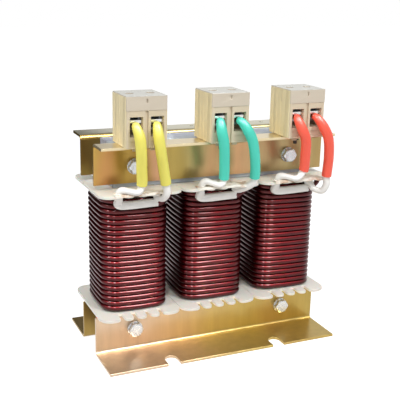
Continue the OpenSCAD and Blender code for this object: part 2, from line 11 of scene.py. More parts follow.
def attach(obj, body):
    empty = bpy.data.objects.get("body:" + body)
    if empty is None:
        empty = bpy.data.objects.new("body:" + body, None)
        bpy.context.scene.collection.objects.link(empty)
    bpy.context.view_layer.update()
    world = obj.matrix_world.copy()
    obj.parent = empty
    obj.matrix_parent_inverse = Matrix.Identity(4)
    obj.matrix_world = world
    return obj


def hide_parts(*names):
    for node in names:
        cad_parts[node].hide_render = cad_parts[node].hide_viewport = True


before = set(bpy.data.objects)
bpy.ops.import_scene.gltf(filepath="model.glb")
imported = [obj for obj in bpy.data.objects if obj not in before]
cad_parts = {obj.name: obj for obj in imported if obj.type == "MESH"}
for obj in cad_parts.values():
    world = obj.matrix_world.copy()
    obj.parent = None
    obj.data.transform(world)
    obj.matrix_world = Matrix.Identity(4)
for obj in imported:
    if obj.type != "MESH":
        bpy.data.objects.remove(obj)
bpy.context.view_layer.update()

# The camera stands to the left of the front and a little above the coils, as in the photo. Its
# place, turn and lens were worked out from the corners of the angles, bolts and blocks.
mm = 0.001
eye = np.array([-248.983, -546.399, 278.729]) * mm
azimuth, elevation, roll = np.radians([-24.225, 15.655, 1.348])
focal_length, picture_width = 784.868, 400
sensor_width = 36
behind = np.array([
    math.sin(azimuth) * math.cos(elevation),
    -math.cos(azimuth) * math.cos(elevation),
    math.sin(elevation),
])
rightward = np.cross([0, 0, 1], behind)
rightward /= np.linalg.norm(rightward)
upward = np.cross(behind, rightward)
turned = np.identity(4)
turned[:3, 0] = math.cos(roll) * rightward + math.sin(roll) * upward
turned[:3, 1] = math.cos(roll) * upward - math.sin(roll) * rightward
turned[:3, 2] = behind
turned[:3, 3] = eye
camera = bpy.data.objects.new("camera", bpy.data.cameras.new("camera"))
camera.data.sensor_width = sensor_width
camera.data.lens = sensor_width * focal_length / picture_width
camera.data.clip_start = 0.02
camera.data.clip_end = 30
camera.matrix_world = Matrix(turned.tolist())
bpy.context.scene.collection.objects.link(camera)
bpy.context.scene.camera = camera
bpy.context.scene.view_settings.view_transform = "Standard"


# The studio: a white paper floor in white surroundings, and three soft boxes above the part. Lit
# strips beside the boxes, and black cards that keep the left sides of the coils dark, show only
# in reflections.
def linear(code):
    """sRGB hex to linear red, green and blue, with alpha: up to 0.04045 a share is divided by
    12.92, and above it the share plus 0.055 is divided by 1.055 and raised to the power 2.4."""
    share = np.array([int(code[i:i + 2], 16) for i in (1, 3, 5)]) / 255
    straight = np.where(share <= 0.04045, share / 12.92, ((share + 0.055) / 1.055) ** 2.4)
    return (*[float(value) for value in straight], 1.0)


def add(tree, kind, inputs=None, **settings):
    """Adds one node, sets it, and links each input that is given a socket or sets it to its value."""
    node = tree.nodes.new(kind)
    for key, value in settings.items():
        setattr(node, key, value)
    for key, value in (inputs or {}).items():
        if isinstance(value, bpy.types.NodeSocket):
            tree.links.new(value, node.inputs[key])
        else:
            node.inputs[key].default_value = value
    return node


def new_finish(name, colour, roughness, metallic=0.0, **sockets):
    """A material with one Principled shader, whose plain values stand on its own sockets."""
    finish = bpy.data.materials.new(name)
    finish.use_nodes = True
    tree = finish.node_tree
    tree.nodes.clear()
    inputs = {"Base Color": linear(colour), "Roughness": roughness, "Metallic": metallic}
    inputs.update({key.replace("_", " "): value for key, value in sockets.items()})
    shader = add(tree, "ShaderNodeBsdfPrincipled", inputs)
    add(tree, "ShaderNodeOutputMaterial", {"Surface": shader.outputs[0]})
    return finish, tree, shader


def seen_directly(tree):
    """1 for the rays that show the surroundings, which come from the camera, a reflection or glass,
    and 0 for those that light the part: the largest of three flags."""
    rays = add(tree, "ShaderNodeLightPath")
    seen = add(tree, "ShaderNodeMath", {
        0: rays.outputs["Is Camera Ray"], 1: rays.outputs["Is Glossy Ray"],
    }, operation="MAXIMUM")
    return add(tree, "ShaderNodeMath", {
        0: seen.outputs[0], 1: rays.outputs["Is Transmission Ray"],
    }, operation="MAXIMUM").outputs[0]


# Matt seamless paper, 8 m wide and a hair under the feet. It takes a soft shadow, and shines up to
# white only where it is seen.
floor_paper, tree, shader = new_finish(
    "white_floor_paper", "#BCBCBC", 0.9, Specular_IOR_Level=0.0, Emission_Color=(1, 1, 1, 1),
)
glow = add(tree, "ShaderNodeMapRange", {"Value": seen_directly(tree), "To Min": 0.25, "To Max": 0.84})
tree.links.new(glow.outputs[0], shader.inputs["Emission Strength"])
floor_half, floor_drop = 4, 0.02 * mm
floor_mesh = bpy.data.meshes.new("floor")
floor_mesh.from_pydata([
    (x * floor_half, y * floor_half, -floor_drop) for x, y in ((-1, -1), (1, -1), (1, 1), (-1, 1))
], [], [(0, 1, 2, 3)])
floor_mesh.materials.append(floor_paper)
floor = bpy.data.objects.new("floor", floor_mesh)
bpy.context.scene.collection.objects.link(floor)

world = bpy.data.worlds.new("white_surroundings")
bpy.context.scene.world = world
world.use_nodes = True
tree = world.node_tree
tree.nodes.clear()
strength = add(tree, "ShaderNodeMapRange", {
    "Value": seen_directly(tree), "To Min": 0.34, "To Max": 1.0,
})
surround = add(tree, "ShaderNodeBackground", {"Color": (1, 1, 1, 1), "Strength": strength.outputs[0]})
add(tree, "ShaderNodeOutputWorld", {"Surface": surround.outputs[0]})


looked_at = np.array([0, 0, 100]) * mm


def facing_middle(from_left, height, away):
    """The matrix of a lamp or card that looks at the middle of the part, from an angle left of the
    front and a height above it in degrees, and a distance in metres: its own Z runs from the
    middle to it, its X lies level, and its Y is square to both."""
    a, e = math.radians(-from_left), math.radians(height)
    away_from = np.array([math.sin(a) * math.cos(e), -math.cos(a) * math.cos(e), math.sin(e)])
    side = np.cross([0, 0, 1], away_from)
    side /= np.linalg.norm(side)
    place = np.identity(4)
    place[:3, :3] = np.column_stack([side, np.cross(away_from, side), away_from])
    place[:3, 3] = away_from * away + looked_at
    return Matrix(place.tolist())


for name, from_left, height, size, power in (
    ("front_box", -23.5, 50, (0.2, 0.46), 4.2),
    ("left_box", 30, 48, (0.1, 0.46), 2.2),
    ("side_box", 78, 46, (0.1, 0.46), 3.2),
):
    lamp = bpy.data.objects.new(name, bpy.data.lights.new(name, "AREA"))
    lamp.data.shape = "RECTANGLE"
    lamp.data.size, lamp.data.size_y = size
    lamp.data.energy = power
    lamp.matrix_world = facing_middle(from_left, height, 1.0)
    bpy.context.scene.collection.objects.link(lamp)

# Black felt, which gives nothing back, and white cloth lit from behind, which the wires and the
# bolts show as narrow glints.
card_black = new_finish("black_card", "#0A0A0A", 0.9, Specular_IOR_Level=0.0)[0]
card_white = new_finish(
    "lit_white_card", "#FFFFFF", 0.9, Specular_IOR_Level=0.0,
    Emission_Color=(1, 1, 1, 1), Emission_Strength=42,
)[0]
for name, from_left, height, away, size, finish in (
    ("front_strip", -23.5, 57, 0.97, (0.18, 0.6), card_white),
    ("right_strip", -48, 58, 0.97, (0.3, 0.16), card_white),
    ("left_strip", 30, 56, 0.97, (0.11, 0.6), card_white),
    ("side_strip", 76, 54, 0.97, (0.11, 0.6), card_white),
    ("black_card_left", 153, 32, 0.95, (1.5, 1.5), card_black),
    ("black_card_low", 153, -9, 0.55, (1.2, 0.16), card_black),
):
    mesh = bpy.data.meshes.new(name)
    w, h = size[0] / 2, size[1] / 2
    mesh.from_pydata([(-w, -h, 0), (w, -h, 0), (w, h, 0), (-w, h, 0)], [], [(0, 1, 2, 3)])
    mesh.materials.append(finish)
    board = bpy.data.objects.new(name, mesh)
    board.matrix_world = facing_middle(from_left, height, away)
    board.visible_camera = board.visible_shadow = board.visible_diffuse = False
    bpy.context.scene.collection.objects.link(board)


# The four clamping angles: 2 mm steel sheet, sheared, punched and bent, then zinc plated and yellow
# passivated. The bolts pull each pair together over a yoke. The lower pair ends in slotted feet,
# and the upper pair in shelves, the front one for the blocks.
def surface_marks(tree, size_mm, detail=3.0, stretch=(1, 1, 1)):
    """Noise whose spots have a real size in millimetres, on the piece's own coordinates. A stretch
    below 1 draws the spots out along that axis."""
    coords = add(tree, "ShaderNodeTexCoord")
    sized = add(tree, "ShaderNodeMapping", {"Vector": coords.outputs["Object"], "Scale": stretch})
    return add(tree, "ShaderNodeTexNoise", {
        "Vector": sized.outputs[0], "Scale": 1 / (size_mm * mm), "Detail": detail,
    })


def passivated_finish(name, film, shelf=None):
    """Yellow chromate film on zinc plate, grown in a bath. The film is clear and uneven, so the
    dull metal looks gold through it and drifts to orange, pink and olive: its colour follows the
    length of the angle, pushed about by clouds. Over the height range of a shelf's top the colour
    goes over to a paler one: a painted sheen."""
    finish, tree, shader = new_finish(name, film[0][1], 0.28, metallic=0.8)
    coords = add(tree, "ShaderNodeTexCoord")
    axes = add(tree, "ShaderNodeSeparateXYZ", {"Vector": coords.outputs["Object"]})
    along = add(tree, "ShaderNodeMapRange", {
        "Value": axes.outputs[0], "From Min": -angle_half * mm, "From Max": angle_half * mm,
    })
    # Clouds some 45 mm across shift the colours by up to a tenth of the angle's length.
    clouds = surface_marks(tree, 45, 2.0, (1.0, 0.5, 0.35))
    pushed = add(tree, "ShaderNodeMath", {
        0: clouds.outputs[0], 1: 0.22, 2: -0.11,
    }, operation="MULTIPLY_ADD")
    drift = add(tree, "ShaderNodeMath", {0: along.outputs[0], 1: pushed.outputs[0]}, operation="ADD")
    ramp = add(tree, "ShaderNodeValToRGB", {0: drift.outputs[0]})
    ramp.color_ramp.interpolation = "EASE"
    while len(ramp.color_ramp.elements) < len(film):
        ramp.color_ramp.elements.new(0.5)
    for element, (stop, colour) in zip(ramp.color_ramp.elements, film):
        element.position, element.color = stop, linear(colour)
    # Run-off streaks down the web: real ones are 1 to 2 mm wide, drawn 5 mm wide so that they show.
    streaks = surface_marks(tree, 5, 4.0, (1.0, 1.0, 0.12))
    shade = add(tree, "ShaderNodeMapRange", {
        "Value": streaks.outputs[0], "From Min": 0.3, "From Max": 0.7, "To Min": 0.93, "To Max": 1.06,
    })
    tone = add(tree, "ShaderNodeMix", {
        0: 1.0, 6: ramp.outputs[0], 7: shade.outputs[0],
    }, data_type="RGBA", blend_type="MULTIPLY")
    # Painted sheen: over the shelf's heights the colour is mixed over to the paler one.
    if shelf:
        sheen_colour, sheen_from, sheen_to = shelf
        sheen_mask = add(tree, "ShaderNodeMapRange", {
            "Value": axes.outputs[2], "From Min": sheen_from * mm, "From Max": sheen_to * mm,
        })
        tone = add(tree, "ShaderNodeMix", {
            0: sheen_mask.outputs[0], 6: tone.outputs[2], 7: linear(sheen_colour),
        }, data_type="RGBA")
    tree.links.new(tone.outputs[2], shader.inputs["Base Color"])
    return finish


# Degrees from which an edge counts as sharp.
crease = 34


def softened(node, radius, finish):
    """A copy of a CAD node with its doubled points merged and its flat faces joined again. A Bevel
    modifier rounds the edges that are sharper than a crease, to the radius that a mould or a shear
    leaves."""
    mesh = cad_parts[node].data.copy()
    work = bmesh.new()
    work.from_mesh(mesh)
    bmesh.ops.remove_doubles(work, verts=work.verts, dist=0.002 * mm)
    bmesh.ops.dissolve_limit(work, angle_limit=math.radians(0.4), verts=work.verts, edges=work.edges)
    work.to_mesh(mesh)
    work.free()
    mesh.materials.clear()
    mesh.materials.append(finish)
    mesh.shade_smooth()
    mesh.set_sharp_from_angle(angle=math.radians(crease))
    piece = bpy.data.objects.new(node + "_shown", mesh)
    bpy.context.scene.collection.objects.link(piece)
    rounding = piece.modifiers.new("rounding", "BEVEL")
    rounding.width = radius * mm
    rounding.segments = 2
    rounding.limit_method = "ANGLE"
    rounding.angle_limit = math.radians(crease)
    rounding.harden_normals = True
    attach(piece, "reactor")
    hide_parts(node)


angle_half, sheared_edge = 95, 0.25
# The film's drift: colours at shares of the length, from the left end to the right.
angle_films = {
    "top_angle_front": [
        (0.0, "#B6944C"), (0.07, "#BC8A52"), (0.14, "#AC8C44"), (0.21, "#B08E4C"), (0.28, "#BC906A"),
        (0.34, "#AA924E"), (0.41, "#B09E6A"), (0.47, "#BA9468"), (0.54, "#B69E70"), (0.62, "#C0966C"),
        (0.72, "#B0966C"), (0.84, "#AE9E70"), (1.0, "#A88E5C"),
    ],
    # The rear upper angle is painted darker and greyer from a fifth of its length on: painted shade,
    # which also dims the highlight along its bend.
    "top_angle_rear": [
        (0.0, "#967C42"), (0.2, "#84703E"), (0.45, "#807452"), (0.8, "#847A58"), (1.0, "#8C7E54"),
    ],
    "bottom_angle_front": [
        (0.0, "#C7B198"), (0.18, "#C8AE92"), (0.36, "#C2A77E"), (0.55, "#B9A269"), (0.7, "#B39C5A"),
        (0.82, "#B09455"), (1.0, "#AC934F"),
    ],
    "bottom_angle_rear": [
        (0.0, "#A08448"), (0.3, "#B08E50"), (0.6, "#BCA04C"), (1.0, "#B89C50"),
    ],
}
# The paler colour painted on the shelves' tops as a painted sheen, and the two heights between
# which it takes over.
shelf_painted_sheen = {
    "top_angle_front": ("#D8C8A2", 162.8, 164),
    "top_angle_rear": ("#BDB8A0", 164.8, 165.3),
}
for node, film in angle_films.items():
    finish = passivated_finish("yellow_passivated_zinc_" + node, film, shelf_painted_sheen.get(node))
    softened(node, sheared_edge, finish)


# The core: E and I sheets of 0.5 mm silicon steel, punched and stacked with a gap between the legs
# and the top yoke. Their cut edges stand out by a few hundredths, with a dark line between one
# sheet and the next.
leg_pitch, leg_half, core_half_y = 64, 16, 15.5
core_z, window_z, pad_z, yoke_z, core_top = 2.4, 34.4, 130.4, 131.0, 163.0
sheet_t = 0.5
joint_half, joint_depth, uneven = 0.07, 0.16, 0.07


def shell(rings, closed=False):
    """Points, faces and UVs of a skin over rings of points: point (i, j) is joined to its neighbours
    (i + 1, j) and (i, j + 1), and the last of a ring to its first. The last ring is joined to the
    first where the shell is closed, and otherwise both end rings are filled. U is the way along
    the ring middles, and V the share of the way round."""
    rings = np.asarray(rings, float)
    n, m = rings.shape[:2]
    i, j = np.meshgrid(np.arange(n if closed else n - 1), np.arange(m), indexing="ij")
    i, j = i.ravel(), j.ravel()
    nxt, far = (j + 1) % m, (i + 1) % n
    quads = np.stack([i * m + j, i * m + nxt, far * m + nxt, far * m + j], axis=1)
    middles = rings.mean(axis=1)
    steps = np.linalg.norm(np.roll(middles, -1, axis=0) - middles, axis=1)
    along = np.concatenate([[0], np.cumsum(steps)])
    uv = np.stack([
        np.stack([along[i], j / m], 1), np.stack([along[i], (j + 1) / m], 1),
        np.stack([along[i + 1], (j + 1) / m], 1), np.stack([along[i + 1], j / m], 1),
    ], axis=1)
    points = rings.reshape(-1, 3)
    corner = points[quads]
    crossed = np.cross(corner[:, 2] - corner[:, 0], corner[:, 3] - corner[:, 1])
    inside_out = np.einsum("ij,ij->", crossed, corner.mean(axis=1) - points.mean(axis=0)) < 0
    faces = quads.tolist()
    loops = uv.reshape(-1, 2)
    if not closed:
        faces += [list(range(m - 1, -1, -1)), list(range((n - 1) * m, n * m))]
        loops = np.concatenate([loops, np.zeros((2 * m, 2))])
    if inside_out:
        faces = [face[::-1] for face in faces]
        loops = np.concatenate([uv[:, ::-1].reshape(-1, 2), loops[4 * len(quads):]])
    return points, faces, loops


def placed(part, offsets):
    """The same shell at each of several places: its points plus each offset."""
    return [(part[0] + np.asarray(offset, float), part[1], part[2]) for offset in offsets]


def make_piece(name, shells, finish, nodes=(), sharp=crease):
    """One object from several shells in millimetres, shaded smooth but for the edges that are
    sharper than an angle in degrees."""
    count, points, faces, loops = 0, [], [], []
    for part_points, part_faces, part_loops in shells:
        points.append(part_points)
        faces += [[index + count for index in face] for face in part_faces]
        loops.append(part_loops)
        count += len(part_points)
    mesh = bpy.data.meshes.new(name)
    mesh.from_pydata((np.concatenate(points) * mm).tolist(), [], faces)
    all_loops = np.concatenate(loops).astype(np.float32)
    mesh.uv_layers.new(name="along").uv.foreach_set("vector", all_loops.ravel())
    mesh.materials.append(finish)
    mesh.shade_smooth()
    mesh.set_sharp_from_angle(angle=math.radians(sharp))
    piece = bpy.data.objects.new(name, mesh)
    bpy.context.scene.collection.objects.link(piece)
    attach(piece, "reactor")
    if nodes:
        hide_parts(*nodes)
    return piece


def stack_of_sheets(outline, inward, seed):
    """An outline in x and z carried along y, four rings to a sheet. The rings at its two faces are
    drawn in by the depth of a joint, along the inward direction of each corner, and the two
    between them by the same chance amount, so that each sheet stands out a little differently."""
    chance = np.random.default_rng(seed)
    count = round(2 * core_half_y / sheet_t)
    sheet = np.arange(count)
    stands_out = chance.uniform(0.0, uneven, count)
    across = np.array([0.0, joint_half, sheet_t - joint_half, sheet_t])
    y = (-core_half_y + sheet[:, None] * sheet_t + across).ravel()
    inset = np.where(np.tile([0, 1, 1, 0], count) > 0, np.repeat(stands_out, 4), joint_depth)
    flat = outline[None] + inset[:, None, None] * inward[None]
    depth = np.broadcast_to(y[:, None], flat.shape[:2])
    return shell(np.stack([flat[..., 0], depth, flat[..., 1]], axis=-1))


def bored(piece, radius, height):
    """Cuts the two holes of the through bolts at a height, with cylinders that run along Y through
    the stack, and keeps the result."""
    work = bmesh.new()
    for x in (-leg_pitch, leg_pitch):
        place = Matrix.Translation((x * mm, 0, height * mm)) @ Matrix.Rotation(math.pi / 2, 4, "X")
        bmesh.ops.create_cone(
            work, cap_ends=True, segments=32, radius1=radius * mm, radius2=radius * mm,
            depth=60 * mm, matrix=place,
        )
    cutter_mesh = bpy.data.meshes.new("bores")
    work.to_mesh(cutter_mesh)
    work.free()
    cutter = bpy.data.objects.new("bores", cutter_mesh)
    bpy.context.scene.collection.objects.link(cutter)
    cut = piece.modifiers.new("bores", "BOOLEAN")
    cut.operation, cut.solver, cut.object = "DIFFERENCE", "EXACT", cutter
    done = bpy.data.meshes.new_from_object(piece.evaluated_get(bpy.context.evaluated_depsgraph_get()))
    piece.modifiers.clear()
    piece.data = done
    done.set_sharp_from_angle(angle=math.radians(crease))
    bpy.data.objects.remove(cutter)


# Silicon steel sheet, rolled and given a thin phosphate coat. The coat makes it blue-grey and only
# half metallic. Its tints are 26 mm across, and drawn out along the rolling direction run streaks
# 2 mm wide, which is four sheets, because single ones are too fine to show.
core_finish, tree, shader = new_finish("coated_silicon_steel", "#BCC2C6", 0.5, metallic=0.4)
tints = surface_marks(tree, 26, 2.0, (1, 3, 1))
ramp = add(tree, "ShaderNodeValToRGB", {0: tints.outputs[0]})
for element, stop, colour in zip(ramp.color_ramp.elements, (0.36, 0.64), ("#A2A6B4", "#B4BCC0")):
    element.position, element.color = stop, linear(colour)
streaks = surface_marks(tree, 2.0, 3.0, (0.08, 1.0, 0.08))
dark = add(tree, "ShaderNodeMapRange", {
    "Value": streaks.outputs[0], "From Min": 0.34, "From Max": 0.56, "To Min": 0.72, "To Max": 1.03,
})
tone = add(tree, "ShaderNodeMix", {
    0: 1.0, 6: ramp.outputs[0], 7: dark.outputs[0],
}, data_type="RGBA", blend_type="MULTIPLY")
tree.links.new(tone.outputs[2], shader.inputs["Base Color"])

core_half_x = leg_pitch + leg_half
window_half = leg_pitch - leg_half
e_outline = np.array([
    (-core_half_x, core_z), (core_half_x, core_z), (core_half_x, pad_z), (window_half, pad_z),
    (window_half, window_z), (leg_half, window_z), (leg_half, pad_z), (-leg_half, pad_z),
    (-leg_half, window_z), (-window_half, window_z), (-window_half, pad_z), (-core_half_x, pad_z),
], float)
e_inward = np.array([
    (1, 1), (-1, 1), (-1, -1), (1, -1), (1, -1), (-1, -1),
    (-1, -1), (1, -1), (1, -1), (-1, -1), (-1, -1), (1, -1),
], float)
i_outline = np.array([
    (-core_half_x, yoke_z), (core_half_x, yoke_z), (core_half_x, core_top), (-core_half_x, core_top),
], float)
i_inward = np.array([(1, 1), (-1, 1), (-1, -1), (1, -1)], float)
bolt_heights = [18.4, 147.0]
bore_r = 4.2
for name, node, outline, inward, seed, height in (
    ("core_e_sheets", "core_e_stack", e_outline, e_inward, 3, bolt_heights[0]),
    ("core_i_sheets", "core_i_yoke", i_outline, i_inward, 4, bolt_heights[1]),
):
    sheets = stack_of_sheets(outline, inward, seed)
    bored(make_piece(name, [sheets], core_finish, nodes=[node]), bore_r, height)


# The pads in the air gaps and the tubes round the bolts. The pads are cut from laminated board,
# and the tubes are rolled film. They keep the legs from the yoke and the bolts from the sheets.
def refinish(node, finish):
    """Gives a carried-over CAD node its finish, and leaves its mesh alone."""
    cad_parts[node].data.materials.clear()
    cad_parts[node].data.materials.append(finish)


# Pressboard and bare insulating film: hardly any gloss, in a dull buff.
board_finish = new_finish("insulation_board", "#D9CDAE", 0.7)[0]
for node in ("air_gap_pads", "bolt_tubes"):
    refinish(node, board_finish)


# Four M6 through bolts with their washers and nuts: forged steel, zinc plated and clear, with
# chamfered hexagons, a thread of 1 mm pitch and split spring washers of black steel at the rear.
face_y = 17.5
bolt_r, head_h, nut_h, bolt_end = 3.0, 4.0, 5.0, 2.3
half_flats, chamfer_r, nut_face_r = 5.0, 4.5, 4.6
washer_r, washer_t, washer_bore, punched_edge = 6.0, 1.6, 3.3, 0.2
bolt_spots = [(x, 0, z) for x in (-leg_pitch, leg_pitch) for z in bolt_heights]


def about_bolt(angle, radius, y):
    """Points about a bolt's axis, which lies along Y: X is the radius times the cosine of the angle,
    and Z the radius times its sine."""
    return np.stack(np.broadcast_arrays(radius * np.cos(angle), y, radius * np.sin(angle)), axis=-1)


def turned_ring(profile, angles, closed=True):
    """A closed profile of radius and height, carried round a bolt's axis over the given angles."""
    profile = np.array(profile, float)
    return shell(about_bolt(angles[:, None], profile[None, :, 0], profile[None, :, 1]), closed=closed)


# Zinc plate, bright from the bath and clear passivated: a bluish silver. Its crystals blur the
# reflections unevenly, in spots drawn 1.5 mm wide because real ones are too fine to show.
zinc_finish, tree, shader = new_finish("clear_zinc_plate", "#D2D5D8", 0.3, metallic=0.8)
dull = surface_marks(tree, 1.5, 2.0)
rough = add(tree, "ShaderNodeMapRange", {"Value": dull.outputs[0], "To Min": 0.2, "To Max": 0.34})
tree.links.new(rough.outputs[0], shader.inputs["Roughness"])
# Spring steel, hardened and blackened in oil: a dark sheen.
spring_finish = new_finish("blackened_spring_steel", "#3A3C40", 0.4, metallic=0.9)[0]

# A hexagon's radius is half the flats over the cosine of the angle from the nearest flat's middle.
# A cone of 30 degrees from the round face cuts its corners back, by the tangent of that angle
# times the radius beyond the face.
round_steps, chamfer = 48, 30
round_angles = np.arange(round_steps) * 2 * math.pi / round_steps
hexagon = half_flats / np.cos(round_angles % (math.pi / 3) - math.pi / 6)
fall = (hexagon - chamfer_r) * math.tan(math.radians(chamfer))
head_y = -face_y - washer_t
head_face = head_y - head_h
# The head's rings run from the washer to the face, and end in one of nearly no size at its middle.
head_rows = [
    (hexagon, head_y - 0.05), (hexagon, head_face + fall), (chamfer_r, head_face),
    (2.5, head_face), (0.02, head_face),
]
head = shell(np.array([about_bolt(round_angles, radius, y) for radius, y in head_rows]))

# The thread is a groove whose depth rises and falls once with each millimetre along the axis,
# shifted by the share of the way round, as the power 1.3 of the distance from the crest.
thread_start = face_y + 1.0
groove_depth, tip_chamfer = 0.55, 0.75
tip_y = face_y + 2 * washer_t + nut_h + bolt_end
y_steps = np.concatenate([
    [head_y], np.arange(thread_start, tip_y - 0.4, 0.125), [tip_y - 0.35, tip_y],
])
turn = (y_steps[:, None] - round_angles[None, ::2] / (2 * math.pi)) % 1.0
threaded = y_steps[:, None] >= thread_start + 0.01
radii = bolt_r - np.where(threaded, groove_depth * np.abs(2 * turn - 1) ** 1.3, 0.0)
radii[-1] = bolt_r - tip_chamfer
shank = shell(about_bolt(round_angles[None, ::2], radii, y_steps[:, None]))
# The chamfers stay crisp, so edges just under their 30 degrees already count as sharp.
chamfer_crease = chamfer - 2
make_piece(
    "through_bolts_shown", placed(head, bolt_spots) + placed(shank, bolt_spots),
    zinc_finish, nodes=["through_bolts"], sharp=chamfer_crease,
)

plain_washers = []
for y in (head_y, face_y):
    profile = [
        (washer_bore, y), (washer_r - punched_edge, y), (washer_r, y + punched_edge),
        (washer_r, y + washer_t - punched_edge), (washer_r - punched_edge, y + washer_t),
        (washer_bore, y + washer_t),
    ]
    plain_washers += placed(turned_ring(profile, round_angles), bolt_spots)
make_piece("plain_washers_shown", plain_washers, zinc_finish, nodes=["plain_washers"])

spring_r, spring_from, spring_to, half_gap = 4.85, 19.15, 20.65, 0.12
gap_angles = np.linspace(half_gap, 2 * math.pi - half_gap, 49) + math.pi
spring_profile = [
    (washer_bore, spring_from), (spring_r, spring_from),
    (spring_r, spring_to), (washer_bore, spring_to),
]
spring = turned_ring(spring_profile, gap_angles, closed=False)
make_piece(
    "spring_washers_shown", placed(spring, bolt_spots), spring_finish,
    nodes=["spring_washers"],
)

nut_y = face_y + 2 * washer_t
nut_top = nut_y + nut_h
# The nut's bore has a radius of 3.1 mm, and opens to 3.6 mm over the last 0.4 mm at each face.
nut_rows = [
    (3.1, nut_y + 0.4), (3.6, nut_y), (nut_face_r, nut_y), (hexagon, nut_y + fall),
    (hexagon, nut_top - fall), (nut_face_r, nut_top), (3.6, nut_top), (3.1, nut_top - 0.4),
]
nut_rings = np.stack([about_bolt(round_angles, radius, y) for radius, y in nut_rows], axis=1)
nut = shell(nut_rings, closed=True)
make_piece(
    "bolt_nuts_shown", placed(nut, bolt_spots), zinc_finish,
    nodes=["bolt_nuts"], sharp=chamfer_crease,
)


# Three bobbins of glass-filled nylon, each moulded in one piece with toothed flanges. They slide
# over the legs, carry the windings, and keep them from the core.
phases = ["left", "middle", "right"]
moulded_edge = 0.3

# Nylon, moulded with short glass: off-white and half matt, and it lets a little light in, so that
# its edges look soft.
nylon_finish = new_finish(
    "moulded_white_nylon", "#ECEAE0", 0.45, Subsurface_Weight=0.15, Subsurface_Scale=1.5 * mm,
)[0]
for phase in phases:
    softened("bobbin_" + phase, moulded_edge, nylon_finish)


# The coils: enamelled round copper wire of 3.9 mm, wound in two layers with a sheet of insulation
# between them. The outer layer has 22 turns, and its wire leaves the top one in front.

# Wire enamel, baked on in many thin coats: a deep clear red over bright copper, so it is a dark red
# metal under a smooth clear coat. It is patchy by a shade, over 9 mm or some two turns.
enamel_finish, tree, shader = new_finish(
    "dark_red_wire_enamel", "#500A0F", 0.4, metallic=1.0,
    Coat_Weight=0.45, Coat_Roughness=0.08, Coat_IOR=1.55,
)
blotches = surface_marks(tree, 9, 3.0, (1, 1, 0.4))
tone = add(tree, "ShaderNodeMix", {
    0: blotches.outputs[0], 6: linear("#3F070A"), 7: linear("#580C11"),
}, data_type="RGBA")
tree.links.new(tone.outputs[2], shader.inputs["Base Color"])
for phase in phases:
    refinish("inner_winding_" + phase, enamel_finish)
    refinish("layer_insulation_" + phase, board_finish)

wire_r, turns = 1.95, 22
coil_bottom, coil_top = 38.55, 125.95
bend_r, bow, wander_by = 10.0, 0.75, 0.03
corner_x, corner_y = 48.3 / 2 - bend_r, 47.3 / 2 - bend_r
band_x, band_y, band_z = 14.0, -28.3, 121.2


def swept(path, half_wide, half_high, reference, sides=14, square=2.0):
    """A profile carried along a path: at each point the profile lies across the way the path runs,
    turned so that its height is the reference direction made square to the path. It is a
    superellipse, a cosine and a sine raised to two over a power: 2 is round, and more is squarer."""
    path = np.asarray(path, float)
    way = np.gradient(path, axis=0)
    way /= np.linalg.norm(way, axis=1, keepdims=True)
    height = reference - (way @ reference)[:, None] * way
    height /= np.linalg.norm(height, axis=1, keepdims=True)
    width = np.cross(way, height)
    angle = np.arange(sides) * 2 * math.pi / sides
    c, s = np.cos(angle), np.sin(angle)
    power = 2 / np.broadcast_to(square, len(path))[:, None]
    across = np.sign(c) * np.abs(c) ** power * np.broadcast_to(half_wide, len(path))[:, None]
    along = np.sign(s) * np.abs(s) ** power * np.broadcast_to(half_high, len(path))[:, None]
    return path[:, None] + across[..., None] * width[:, None] + along[..., None] * height[:, None]


def smooth_way(spots, steps):
    """A curve through every spot, each stretch a cubic whose slopes are half the step between the
    neighbours of its ends."""
    spots = np.asarray(spots, float)
    padded = np.concatenate([[2 * spots[0] - spots[1]], spots, [2 * spots[-1] - spots[-2]]])
    a, b, c, d = padded[:-3, None], padded[1:-2, None], padded[2:-1, None], padded[3:, None]
    t = (np.arange(steps) / steps)[None, :, None]
    curve = b + 0.5 * t * (c - a + t * (2 * a - 5 * b + 4 * c - d + t * (3 * (b - c) + d - a)))
    return np.concatenate([curve.reshape(-1, 3), spots[-1:]])


def coil_way(seed):
    """A rectangle with round corners, followed clockwise from the right front corner and raised
    evenly with the length of wire laid. Its sides bow out by the square of a sine, once over each
    quarter of the way round, and its height wanders by a few hundredths of a millimetre."""
    arc_steps, side_steps = 9, 5
    corner = np.repeat(np.arange(4), arc_steps + 1 + side_steps)
    step = np.tile(np.arange(arc_steps + 1 + side_steps), 4)
    angle = np.radians(-90 * corner - 90 * np.minimum(step / arc_steps, 1))
    middles = np.array([(1, -1), (-1, -1), (-1, 1), (1, 1)], float) * [corner_x, corner_y]
    share = (np.maximum(step - arc_steps, 0) / (side_steps + 1))[:, None]
    middle = middles[corner] * (1 - share) + middles[(corner + 1) % 4] * share
    outward = np.stack([np.cos(angle), np.sin(angle)], axis=1)
    once = middle + bend_r * outward
    spacing = np.linalg.norm(np.roll(once, -1, axis=0) - once, axis=1)
    laid = np.concatenate([[0], np.cumsum(spacing)[:-1]]) / spacing.sum()
    half_arc = math.pi * bend_r / 4 / spacing.sum()
    once = once + bow * (np.sin(4 * math.pi * (laid - half_arc)) ** 2)[:, None] * outward
    flat_way = np.concatenate([np.tile(once, (turns, 1)), once[:1]])
    length = np.concatenate([[0], np.cumsum(np.linalg.norm(np.diff(flat_way, axis=0), axis=1))])
    height = coil_bottom + (coil_top - coil_bottom) * length / length[-1]
    every = 16
    pushes = np.random.default_rng(seed).normal(0, wander_by, len(height) // every + 2)
    wander = np.interp(np.arange(len(height)), np.arange(0, len(height) + every, every), pushes)
    return np.column_stack([flat_way, height + wander])


